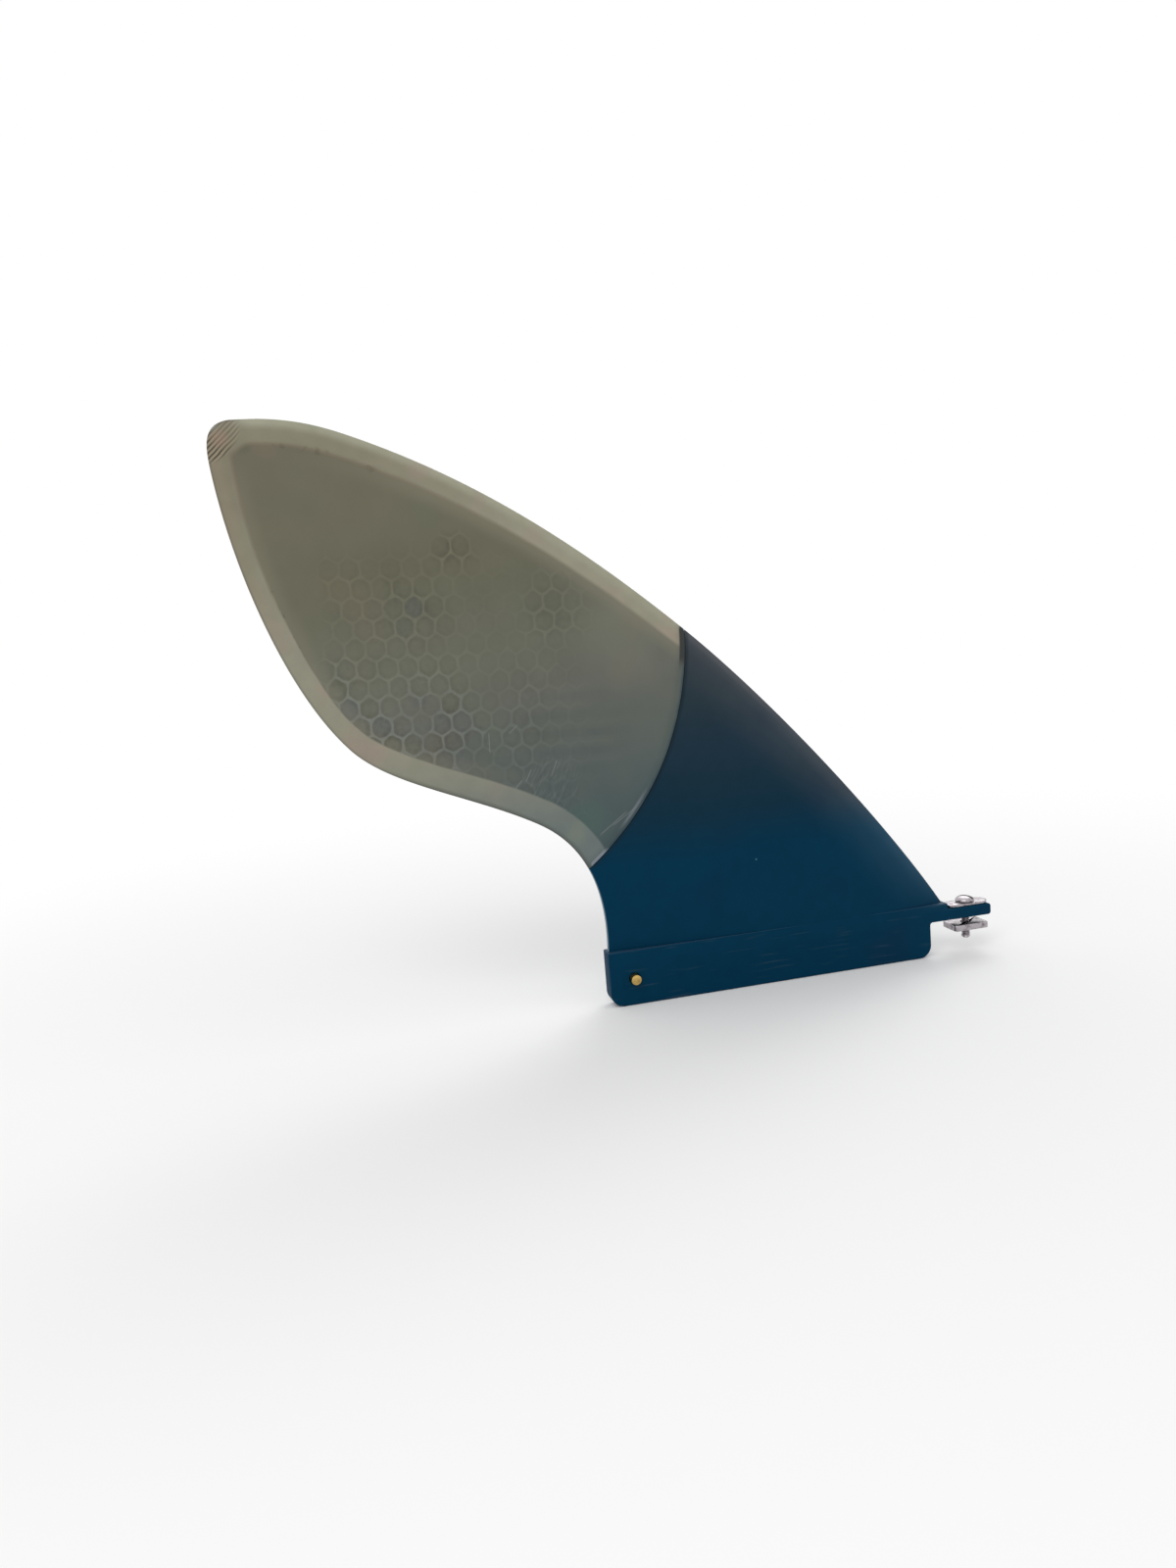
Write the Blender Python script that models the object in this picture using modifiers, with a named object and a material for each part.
"""Raked centre fin: a moulded glass blade over a honeycomb core, on a solid root with its tab.

Units are metres and +Z is up. +X runs to the leading edge's foot, and Y is the thickness.
Planform heights are counted from the top of the tab. The origin is on the tab's foot.
"""

import bisect
import math

import bmesh
import bpy
from mathutils import Matrix, Vector
from mathutils.geometry import interpolate_bezier, intersect_line_line_2d

# Clearance between pieces that touch
GAP = 0.0003

# Blade, from the top of the tab up
BLADE_DEPTH = 0.2413
LEADING_FOOT_X = 0.0858
TRAILING_FOOT_X = -0.0832
TIP_REACH = 0.2310
ROOT_THICKNESS = 0.0092
TIP_THICKNESS = 0.0042
TRAILING_THICKNESS = 0.0024
TIP_ROUND = 0.0110
TIP_EDGE_SHARE = 0.35

# Glass skin, its solid rim and the core panel
SKIN = 0.0008
RIM_WIDTH = 0.0098
CELL_PITCH = 0.00854
ROW_PITCH = 0.00825
CELL_WALL = 0.0011
CELL_TILT = math.radians(-1.73)
CELL_ORIGIN_X = -0.1560
CELL_ORIGIN_HEIGHT = 0.1449
SMALLEST_CELL_SHARE = 0.3

# Joint between the blade and the root section
TONGUE_LENGTH = 0.0042
TONGUE_OVERLAP = 0.0030

# Tab below the blade, with the screw's ledge at its front
TAB_THICKNESS = 0.0094
TAB_DEPTH = 0.0254
TAB_OVERHANG = 0.0010
TAB_CORNER = 0.0060
TAB_EDGE_ROUND = 0.0005
LEDGE_LENGTH = 0.0244
LEDGE_DROP = 0.0030
LEDGE_THICKNESS = 0.0055
LEDGE_SETBACK = 0.0086

# Cross pin, and how far its axis and the nut plate's middle lie below the tab's top
PIN_DROP = 0.0130
PIN_DIAMETER = 0.0048
PIN_LENGTH = 0.0156
PIN_SETBACK = 0.0105

# Screw, the washer strip under its head and the nut plate
SCREW_REACH = 0.0129
SCREW_DIAMETER = 0.0042
SCREW_LENGTH = 0.0185
HEAD_DIAMETER = 0.0090
HEAD_HEIGHT = 0.0026
DRIVE_SLOT_WIDTH = 0.0012
DRIVE_SLOT_DEPTH = 0.0013
DRIVE_SLOT_TURN = math.radians(35)
WASHER_LENGTH = 0.0225
WASHER_WIDTH = 0.0084
WASHER_THICKNESS = 0.0012
NUT_LENGTH = 0.0180
NUT_WIDTH = 0.0127
NUT_THICKNESS = 0.0030
NUT_CORNER = 0.0015

# Planform knots and handles: x in shares of the tip's reach, z in shares of the blade's depth.
# The first knot of each edge is its foot, and the first handle is counted from it.
LEADING_FOOT_HANDLE = (-0.1164, 0.1735)
LEADING_EDGE = [
    (0.0187, 0.4414),
    (-0.1582, 0.5921),
    (-0.3437, 0.7503),
    (-0.5186, 0.8696),
    (-0.7180, 0.9506),
    (-0.7927, 0.9808),
    (-0.8460, 1.0),
    (-0.9437, 1.0),
]
TRAILING_FOOT_HANDLE = (0.0053, 0.0873)
TRAILING_EDGE = [
    (-0.3664, 0.1986),
    (-0.4781, 0.2600),
    (-0.5977, 0.3256),
    (-0.7469, 0.3590),
    (-0.8132, 0.4301),
    (-0.9125, 0.5368),
    (-0.9819, 0.7541),
    (-0.9985, 0.9208),
    (-1.0032, 0.9681),
    (-1.0006, 1.0),
    (-0.9437, 1.0),
]
SEAM = [(-0.1576, 0.5896), (-0.1638, 0.4637), (-0.2135, 0.2964), (-0.3746, 0.1727)]

# Fineness of the curves and the foil
CURVE_STEPS = 16
CHORD_STEPS = 13
CORE_CHORD_STEPS = 8
STATION_SPACING = 0.0040
TIP_STATION_SPACING = 0.0006
NARROWEST_CHORD = 0.0030
ARC_STEPS = 6
ROUND_STEPS = 28
CUTTER_REACH = 0.0300
MERGE_REACH = 0.000001


def clear_scene():
    for item in list(bpy.data.objects):
        bpy.data.objects.remove(item, do_unlink=True)


def collection(name):
    made = bpy.data.collections.new(name)
    bpy.context.scene.collection.children.link(made)
    return made


def material(name, colour, roughness, metallic=0.0):
    made = bpy.data.materials.new(name)
    made.use_nodes = True
    shader = made.node_tree.nodes["Principled BSDF"]
    shader.inputs["Base Color"].default_value = (*colour, 1.0)
    shader.inputs["Roughness"].default_value = roughness
    shader.inputs["Metallic"].default_value = metallic
    made.diffuse_color = (*colour, 1.0)
    return made


def object_from(mesh, name, home):
    made = bpy.data.objects.new(name, mesh)
    home.objects.link(made)
    return made


def object_from_bmesh(shape, name, home):
    bmesh.ops.recalc_face_normals(shape, faces=shape.faces)
    mesh = bpy.data.meshes.new(name)
    shape.to_mesh(mesh)
    shape.free()
    return object_from(mesh, name, home)


def make_cutter(item):
    item.hide_render = True
    item.display_type = "WIRE"
    return item


def finish_with(item, look):
    item.data.materials.clear()
    item.data.materials.append(look)
    item.data.shade_smooth()
    item.data.set_sharp_from_angle(angle=math.radians(35))
    return item


def boolean(item, other, operation):
    step = item.modifiers.new(f"{operation.lower()} {other.name}", "BOOLEAN")
    step.operation = operation
    step.solver = "EXACT"
    step.object = other


def round_edges(item, width, segments=2):
    step = item.modifiers.new("rounded edges", "BEVEL")
    step.width = width
    step.segments = segments
    step.limit_method = "ANGLE"
    step.angle_limit = math.radians(50)


# Planform curves


def plan_point(shares):
    return Vector((shares[0] * TIP_REACH, shares[1] * BLADE_DEPTH))


def bezier_chain(knots):
    """Points along joined cubic segments, from knots and handles in order."""
    points = [knots[0]]
    for start in range(0, len(knots) - 1, 3):
        first, out, into, last = knots[start : start + 4]
        segment = interpolate_bezier(
            first.to_3d(), out.to_3d(), into.to_3d(), last.to_3d(), CURVE_STEPS + 1
        )
        points.extend(point.to_2d() for point in segment[1:])
    return points


def edge_curve(foot_x, foot_handle, shares):
    foot = Vector((foot_x, 0.0))
    knots = [foot, foot + plan_point(foot_handle)]
    knots.extend(plan_point(share) for share in shares)
    return bezier_chain(knots)


def offset_line(points, distance):
    """The line moved to its left by the distance, as seen along its direction."""
    moved = []
    last = len(points) - 1
    for index, point in enumerate(points):
        along = (points[min(index + 1, last)] - points[max(index - 1, 0)]).normalized()
        moved.append(point + distance * Vector((-along.y, along.x)))
    return moved


def rising_only(points):
    """The points of a line that climbs, without those that fall back."""
    kept = [points[0]]
    for point in points[1:]:
        if point.y > kept[-1].y + MERGE_REACH:
            kept.append(point)
    return kept


class Edge:
    """An edge of the planform, read as x at a height."""

    def __init__(self, points):
        self.points = rising_only(points)
        self.heights = [point.y for point in self.points]

    def x_at(self, height):
        height = min(max(height, self.heights[0]), self.heights[-1])
        upper = min(max(bisect.bisect_left(self.heights, height), 1), len(self.heights) - 1)
        low, high = self.points[upper - 1], self.points[upper]
        share = (height - low.y) / (high.y - low.y)
        return low.x + share * (high.x - low.x)


LEADING = Edge(edge_curve(LEADING_FOOT_X, LEADING_FOOT_HANDLE, LEADING_EDGE))
TRAILING = Edge(edge_curve(TRAILING_FOOT_X, TRAILING_FOOT_HANDLE, TRAILING_EDGE))
SEAM_LINE = bezier_chain([plan_point(share) for share in SEAM])


def rim_edges(width):
    """The blade's two edges, moved in by the width."""
    leading = Edge(offset_line(LEADING.points, width))
    trailing = Edge(offset_line(TRAILING.points, -width))
    return leading, trailing


# Foil


def foil_share(chord_share):
    """Share of the full half thickness, 0 at the nose and 1 at the thickest point."""
    c = chord_share
    return 10 * (0.2969 * math.sqrt(c) - 0.126 * c - 0.3516 * c**2 + 0.2843 * c**3 - 0.1036 * c**4)


def half_thickness(x, height):
    """Half the blade's thickness at a point of the planform."""
    nose = LEADING.x_at(height)
    tail = TRAILING.x_at(height)
    chord_share = min(max((nose - x) / (nose - tail), 0.0), 1.0)
    climb = min(max(height / BLADE_DEPTH, 0.0), 1.0)
    spine = (ROOT_THICKNESS + climb * (TIP_THICKNESS - ROOT_THICKNESS)) / 2
    edge = TRAILING_THICKNESS / 2
    thickness = (spine - 0.3 * edge) * foil_share(chord_share) + edge * chord_share
    over = min(max((height - BLADE_DEPTH + TIP_ROUND) / TIP_ROUND, 0.0), 1.0)
    return thickness * (TIP_EDGE_SHARE + (1 - TIP_EDGE_SHARE) * math.sqrt(1 - over**2))


def stations(leading, trailing, bottom):
    """Heights of the foil's sections, closer together round the tip."""
    heights = sorted(set(leading.heights + trailing.heights))
    kept = [bottom]
    for height in heights:
        tip = height > BLADE_DEPTH - 2 * TIP_ROUND
        spacing = TIP_STATION_SPACING if tip else STATION_SPACING
        chord = leading.x_at(height) - trailing.x_at(height)
        if height > kept[-1] + spacing and chord > NARROWEST_CHORD:
            kept.append(height)
    return kept


def foil_body(name, edges, bottom, inset, steps, home):
    """A closed body between two edges, its sides set in from the foil's surface."""
    leading, trailing = edges
    shares = [1 - math.cos(math.pi / 2 * step / steps) for step in range(steps + 1)]
    shape = bmesh.new()
    rings = []
    for height in stations(leading, trailing, bottom):
        nose, tail = leading.x_at(height), trailing.x_at(height)
        run = [nose + share * (tail - nose) for share in shares]
        sides = [(x, half_thickness(x, height) - inset) for x in run]
        loop = sides + [(x, -y) for x, y in reversed(sides)]
        rings.append([shape.verts.new((x, y, TAB_DEPTH + height)) for x, y in loop])
    for low, high in zip(rings, rings[1:]):
        for index in range(len(low)):
            after = (index + 1) % len(low)
            shape.faces.new((low[index], low[after], high[after], high[index]))
    shape.faces.new(rings[0])
    shape.faces.new(rings[-1])
    bmesh.ops.remove_doubles(shape, verts=shape.verts, dist=MERGE_REACH)
    return object_from_bmesh(shape, name, home)


# Flat outlines


def flat_mesh(name, outlines, half_depth):
    """A mesh from closed outlines in X and Z, thickened to both sides along Y."""
    curve = bpy.data.curves.new(name, "CURVE")
    curve.dimensions = "2D"
    curve.fill_mode = "BOTH"
    curve.extrude = half_depth
    for outline in outlines:
        spline = curve.splines.new("POLY")
        spline.points.add(len(outline) - 1)
        for point, (x, z) in zip(spline.points, outline):
            point.co = (x, z, 0.0, 1.0)
        spline.use_cyclic_u = True
    holder = bpy.data.objects.new(name, curve)
    bpy.context.scene.collection.objects.link(holder)
    depsgraph = bpy.context.evaluated_depsgraph_get()
    mesh = bpy.data.meshes.new_from_object(holder.evaluated_get(depsgraph))
    bpy.data.objects.remove(holder, do_unlink=True)
    shape = bmesh.new()
    shape.from_mesh(mesh)
    bmesh.ops.remove_doubles(shape, verts=shape.verts, dist=MERGE_REACH)
    for vertex in shape.verts:
        x, z, depth = vertex.co
        vertex.co = (x, -depth, z)
    shape.to_mesh(mesh)
    shape.free()
    return mesh


def side_plate(name, outlines, half_depth, home):
    """A plate that stands in the plane of the blade, at heights above the top of the tab."""
    mesh = flat_mesh(name, outlines, half_depth)
    mesh.transform(Matrix.Translation((0.0, 0.0, TAB_DEPTH)))
    return object_from(mesh, name, home)


def level_plate(name, outlines, bottom, thickness, home):
    """A plate that lies level, its outline in X and Y, its bottom at a height."""
    mesh = flat_mesh(name, outlines, thickness / 2)
    for vertex in mesh.vertices:
        x, depth, y = vertex.co
        vertex.co = (x, y, -depth)
    made = object_from(mesh, name, home)
    made.location.z = TAB_DEPTH + bottom + thickness / 2
    return made


def rounded_outline(corners):
    """An outline with an arc at each corner that states a radius."""
    outline = []
    count = len(corners)
    for index, (x, z, radius) in enumerate(corners):
        here = Vector((x, z))
        before = Vector(corners[index - 1][:2])
        after = Vector(corners[(index + 1) % count][:2])
        if radius == 0:
            outline.append(here)
            continue
        back = (before - here).normalized()
        ahead = (after - here).normalized()
        half_angle = back.angle(ahead) / 2
        centre = here + (back + ahead).normalized() * radius / math.sin(half_angle)
        reach = radius / math.tan(half_angle)
        start = here + back * reach - centre
        stop = here + ahead * reach - centre
        sweep = start.angle_signed(stop)
        for step in range(ARC_STEPS + 1):
            turn = -sweep * step / ARC_STEPS
            outline.append(centre + turned(start, turn))
    return outline


def turned(vector, angle):
    cosine, sine = math.cos(angle), math.sin(angle)
    return Vector((cosine * vector.x - sine * vector.y, sine * vector.x + cosine * vector.y))


def stadium(centre_x, length, width):
    """An outline with straight sides along X and a half circle at each end."""
    radius = width / 2
    reach = length / 2 - radius
    turns = [math.pi * step / (2 * ARC_STEPS) - math.pi / 2 for step in range(2 * ARC_STEPS + 1)]
    front = [(centre_x + reach + radius * math.cos(a), radius * math.sin(a)) for a in turns]
    return front + [(2 * centre_x - x, -y) for x, y in front]


def circle(centre_x, centre_z, radius):
    turns = [2 * math.pi * step / ROUND_STEPS for step in range(ROUND_STEPS)]
    return [(centre_x + radius * math.cos(a), centre_z + radius * math.sin(a)) for a in turns]


# Seam between the glass blade and the root section


def beyond_both_ends(points):
    """The line with a straight run added at each end."""
    start = points[0] + (points[0] - points[1]).normalized() * CUTTER_REACH
    stop = points[-1] + (points[-1] - points[-2]).normalized() * CUTTER_REACH
    return [start, *points, stop]


def root_side(name, moved, home):
    """A cutter that holds all that lies on the root's side of the seam, moved towards the root."""
    line = beyond_both_ends(offset_line(SEAM_LINE, moved))
    below = -TAB_DEPTH - CUTTER_REACH
    ahead = LEADING_FOOT_X + 2 * CUTTER_REACH
    corners = [(line[-1].x, below), (ahead, below), (ahead, line[0].y)]
    return make_cutter(side_plate(name, [line + corners], ROOT_THICKNESS, home))


# Honeycomb core


def crossing(line, other):
    """Where two lines cross: the index of the point before it on each, and the point."""
    for index, (a, b) in enumerate(zip(line, line[1:])):
        for place, (c, d) in enumerate(zip(other, other[1:])):
            point = intersect_line_line_2d(a, b, c, d)
            if point is not None:
                return index, place, point
    raise ValueError("the lines do not cross")


def core_outline():
    """The core panel's outline, counter-clockwise as seen with +X to the right."""
    leading, trailing = rim_edges(RIM_WIDTH + GAP)
    band = beyond_both_ends(offset_line(SEAM_LINE, -TONGUE_LENGTH - GAP))
    lead_index, band_top, upper = crossing(leading.points, band)
    trail_index, band_foot, lower = crossing(trailing.points, band)
    heights = stations(leading, trailing, 0.0)
    rise = [h for h in heights if h > leading.points[lead_index + 1].y]
    fall = [h for h in reversed(heights) if h > trailing.points[trail_index + 1].y]
    outline = [upper]
    outline.extend(Vector((leading.x_at(height), height)) for height in rise)
    outline.extend(Vector((trailing.x_at(height), height)) for height in fall)
    outline.append(lower)
    outline.extend(reversed(band[band_top + 1 : band_foot + 1]))
    return outline


def clipped(cell, point, inward):
    """The part of a convex cell that lies inward of a line through the point."""
    kept = []
    for here, after in zip(cell, cell[1:] + cell[:1]):
        depth, next_depth = (here - point).dot(inward), (after - point).dot(inward)
        if depth >= 0:
            kept.append(here)
        if depth * next_depth < 0:
            kept.append(here.lerp(after, depth / (depth - next_depth)))
    return kept


def area(outline):
    pairs = zip(outline, outline[1:] + outline[:1])
    return sum(a.x * b.y - b.x * a.y for a, b in pairs) / 2


def without_short_sides(cell):
    return [p for i, p in enumerate(cell) if (p - cell[i - 1]).length > CELL_WALL / 5]


def whole_cell(centre):
    """A hexagon that stands on its point, a wall smaller than its place in the rows."""
    half_width = (CELL_PITCH - CELL_WALL) / 2
    point_height = ROW_PITCH / 1.5 - CELL_WALL / math.sqrt(3)
    side_height = point_height / 2
    corners = [
        (half_width, -side_height),
        (half_width, side_height),
        (0.0, point_height),
        (-half_width, side_height),
        (-half_width, -side_height),
        (0.0, -point_height),
    ]
    return [centre + turned(Vector(corner), CELL_TILT) for corner in corners]


def core_cells(outline):
    """The cells that fit inside the outline, cut short where its border crosses them."""
    sides = []
    for here, after in zip(outline, outline[1:] + outline[:1]):
        along = (after - here).normalized()
        inward = Vector((-along.y, along.x))
        sides.append((here, after, here + inward * CELL_WALL, inward))
    full = area(whole_cell(Vector((0.0, 0.0))))
    rows = int(BLADE_DEPTH / ROW_PITCH) + 1
    columns = int(TIP_REACH / CELL_PITCH) + 1
    cells = []
    for row in range(-rows, rows + 1):
        for column in range(-columns, columns + 1):
            step = Vector(((column + 0.5 * (row % 2)) * CELL_PITCH, row * ROW_PITCH))
            centre = Vector((CELL_ORIGIN_X, CELL_ORIGIN_HEIGHT)) + turned(step, CELL_TILT)
            if not inside(centre, outline):
                continue
            cell = whole_cell(centre)
            for here, after, point, inward in sides:
                if near(centre, here, after, CELL_PITCH) and len(cell) > 2:
                    cell = clipped(cell, point, inward)
            cell = without_short_sides(cell)
            if len(cell) > 2 and area(cell) > SMALLEST_CELL_SHARE * full:
                cells.append(cell)
    return cells


def inside(point, outline):
    crossings = 0
    for here, after in zip(outline, outline[1:] + outline[:1]):
        if (here.y > point.y) != (after.y > point.y):
            x = here.x + (point.y - here.y) / (after.y - here.y) * (after.x - here.x)
            crossings += x > point.x
    return crossings % 2 == 1


def near(point, here, after, reach):
    along = after - here
    share = min(max((point - here).dot(along) / along.length_squared, 0.0), 1.0)
    return (here + share * along - point).length < reach


def honeycomb_core(home):
    outline = core_outline()
    mesh = flat_mesh("honeycomb_core", [outline] + core_cells(outline), 1.0)
    for vertex in mesh.vertices:
        x, side, height = vertex.co
        half = half_thickness(x, height) - SKIN - GAP
        vertex.co = (x, math.copysign(half, side), TAB_DEPTH + height)
    return object_from(mesh, "honeycomb_core", home)


# Glass blade


def glass_blade(home, cutters):
    """The moulded shell above the seam: solid at its rim, hollow round the core."""
    blade = foil_body("glass_blade", (LEADING, TRAILING), 0.0, 0.0, CHORD_STEPS, home)
    lowest = SEAM_LINE[-1].y - RIM_WIDTH
    hollow = foil_body(
        "blade_hollow", rim_edges(RIM_WIDTH), lowest, SKIN, CORE_CHORD_STEPS, cutters
    )
    boolean(blade, root_side("below_seam", 0.0, cutters), "DIFFERENCE")
    boolean(blade, make_cutter(hollow), "DIFFERENCE")
    return blade


# Root section


def tab_outline():
    """The tab from the side, with the screw's ledge at its front."""
    rear = TRAILING_FOOT_X - TAB_OVERHANG
    front = LEADING_FOOT_X - LEDGE_SETBACK
    top_front = LEADING_FOOT_X + TAB_OVERHANG
    ledge_end = LEADING_FOOT_X + LEDGE_LENGTH
    ledge_foot = -LEDGE_DROP - LEDGE_THICKNESS
    small = LEDGE_THICKNESS / 4
    return rounded_outline(
        [
            (rear, 0.0, 0),
            (rear, -TAB_DEPTH, TAB_CORNER),
            (front, -TAB_DEPTH, TAB_CORNER),
            (front, ledge_foot, small),
            (ledge_end, ledge_foot, small),
            (ledge_end, -LEDGE_DROP, small),
            (top_front, -LEDGE_DROP, 0),
            (top_front, 0.0, 0),
        ]
    )


def tongue(cutters):
    """The tongue that fills the mouth of the blade's hollow, as far as the core."""
    lowest = SEAM_LINE[-1].y - RIM_WIDTH
    body = foil_body(
        "tongue", rim_edges(RIM_WIDTH + GAP), lowest, SKIN + GAP, CORE_CHORD_STEPS, cutters
    )
    near_side = beyond_both_ends(offset_line(SEAM_LINE, -TONGUE_LENGTH))
    far_side = beyond_both_ends(offset_line(SEAM_LINE, TONGUE_OVERLAP))
    band = side_plate("tongue_band", [near_side + far_side[::-1]], ROOT_THICKNESS, cutters)
    boolean(body, make_cutter(band), "INTERSECT")
    return make_cutter(body)


def root_section(home, cutters):
    """The lower blade, its tongue and the tab, laid up as one solid laminate."""
    root = side_plate("root_section", [tab_outline()], TAB_THICKNESS / 2, home)
    round_edges(root, TAB_EDGE_ROUND)
    buried = -min(TAB_DEPTH, LEDGE_DROP) / 2
    lower = foil_body("lower_blade", (LEADING, TRAILING), buried, 0.0, CHORD_STEPS, cutters)
    boolean(lower, root_side("above_root", GAP, cutters), "INTERSECT")
    boolean(root, make_cutter(lower), "UNION")
    boolean(root, tongue(cutters), "UNION")
    boolean(root, pin_hole(cutters), "DIFFERENCE")
    boolean(root, screw_hole(cutters), "DIFFERENCE")
    return root


def cylinder(name, radius, length, home):
    shape = bmesh.new()
    bmesh.ops.create_cone(
        shape,
        cap_ends=True,
        segments=ROUND_STEPS,
        radius1=radius,
        radius2=radius,
        depth=length,
    )
    return object_from_bmesh(shape, name, home)


def on_pin_axis(item):
    item.rotation_euler.x = math.radians(90)
    item.location = (TRAILING_FOOT_X + PIN_SETBACK, 0.0, TAB_DEPTH - PIN_DROP)
    return item


def pin_hole(cutters):
    hole = cylinder("pin_hole", PIN_DIAMETER / 2 + GAP, 2 * TAB_THICKNESS, cutters)
    return make_cutter(on_pin_axis(hole))


def screw_x():
    return LEADING_FOOT_X + SCREW_REACH


def screw_hole(cutters):
    hole = cylinder("screw_hole", SCREW_DIAMETER / 2 + GAP, 2 * TAB_DEPTH, cutters)
    hole.location = (screw_x(), 0.0, TAB_DEPTH)
    return make_cutter(hole)


# Fittings


def cross_pin(home):
    pin = on_pin_axis(cylinder("cross_pin", PIN_DIAMETER / 2, PIN_LENGTH, home))
    round_edges(pin, PIN_DIAMETER / 12)
    return pin


def head_seat():
    """The height of the underside of the screw's head."""
    return -LEDGE_DROP + WASHER_THICKNESS + 2 * GAP


def fin_screw(home, cutters):
    """A slotted round-head screw, turned from its profile."""
    head, shank = HEAD_DIAMETER / 2, SCREW_DIAMETER / 2
    point = shank / 3
    dome = [math.radians(90) * step / ARC_STEPS for step in range(ARC_STEPS + 1)]
    rim = HEAD_HEIGHT / 4
    profile = [(head * math.sin(a), rim + (HEAD_HEIGHT - rim) * math.cos(a)) for a in dome]
    profile += [(head, 0.0), (shank, 0.0), (shank, point - SCREW_LENGTH)]
    profile += [(shank - point, -SCREW_LENGTH), (0.0, -SCREW_LENGTH)]
    mesh = bpy.data.meshes.new("fin_screw")
    places = [(x, 0.0, z) for x, z in profile]
    mesh.from_pydata(places, [(i, i + 1) for i in range(len(places) - 1)], [])
    screw = object_from(mesh, "fin_screw", home)
    lathe = screw.modifiers.new("turned profile", "SCREW")
    lathe.steps = ROUND_STEPS
    lathe.render_steps = ROUND_STEPS
    lathe.use_merge_vertices = True
    lathe.merge_threshold = MERGE_REACH
    screw.location = (screw_x(), 0.0, TAB_DEPTH + head_seat())
    shape = bmesh.new()
    bmesh.ops.create_cube(shape, size=1.0)
    bmesh.ops.scale(
        shape, vec=(DRIVE_SLOT_WIDTH, 2 * HEAD_DIAMETER, 2 * DRIVE_SLOT_DEPTH), verts=shape.verts
    )
    slot = object_from_bmesh(shape, "drive_slot", cutters)
    slot.location = (screw_x(), 0.0, TAB_DEPTH + head_seat() + HEAD_HEIGHT)
    slot.rotation_euler.z = DRIVE_SLOT_TURN
    boolean(screw, make_cutter(slot), "DIFFERENCE")
    return screw


def washer_plate(home):
    """A strip with round ends that spreads the head's load along the ledge."""
    strip = stadium(screw_x(), WASHER_LENGTH, WASHER_WIDTH)
    hole = circle(screw_x(), 0.0, SCREW_DIAMETER / 2 + GAP)
    bottom = GAP - LEDGE_DROP
    return level_plate("washer_plate", [strip, hole], bottom, WASHER_THICKNESS, home)


def nut_plate(home):
    """The threaded plate under the ledge, level with the cross pin."""
    half, reach = NUT_WIDTH / 2, NUT_LENGTH / 2
    corners = [
        (screw_x() - reach, -half, NUT_CORNER),
        (screw_x() + reach, -half, NUT_CORNER),
        (screw_x() + reach, half, NUT_CORNER),
        (screw_x() - reach, half, NUT_CORNER),
    ]
    hole = circle(screw_x(), 0.0, SCREW_DIAMETER / 2 + GAP)
    bottom = -PIN_DROP - NUT_THICKNESS / 2
    plate = rounded_outline(corners)
    return level_plate("nut_plate", [plate, hole], bottom, NUT_THICKNESS, home)


def build():
    clear_scene()
    fin = collection("surfboard_fin")
    cutters = collection("cutters")
    glass = material("glass_laminate", (0.30, 0.30, 0.24), 0.32)
    comb = material("core_sheet", (0.22, 0.22, 0.18), 0.60)
    navy = material("navy_laminate", (0.02, 0.06, 0.10), 0.30)
    brass = material("brass", (0.62, 0.46, 0.20), 0.30, 1.0)
    steel = material("stainless_steel", (0.62, 0.61, 0.60), 0.28, 1.0)
    finish_with(glass_blade(fin, cutters), glass)
    finish_with(honeycomb_core(fin), comb)
    finish_with(root_section(fin, cutters), navy)
    finish_with(cross_pin(fin), brass)
    finish_with(fin_screw(fin, cutters), steel)
    finish_with(washer_plate(fin), steel)
    finish_with(nut_plate(fin), steel)


build()
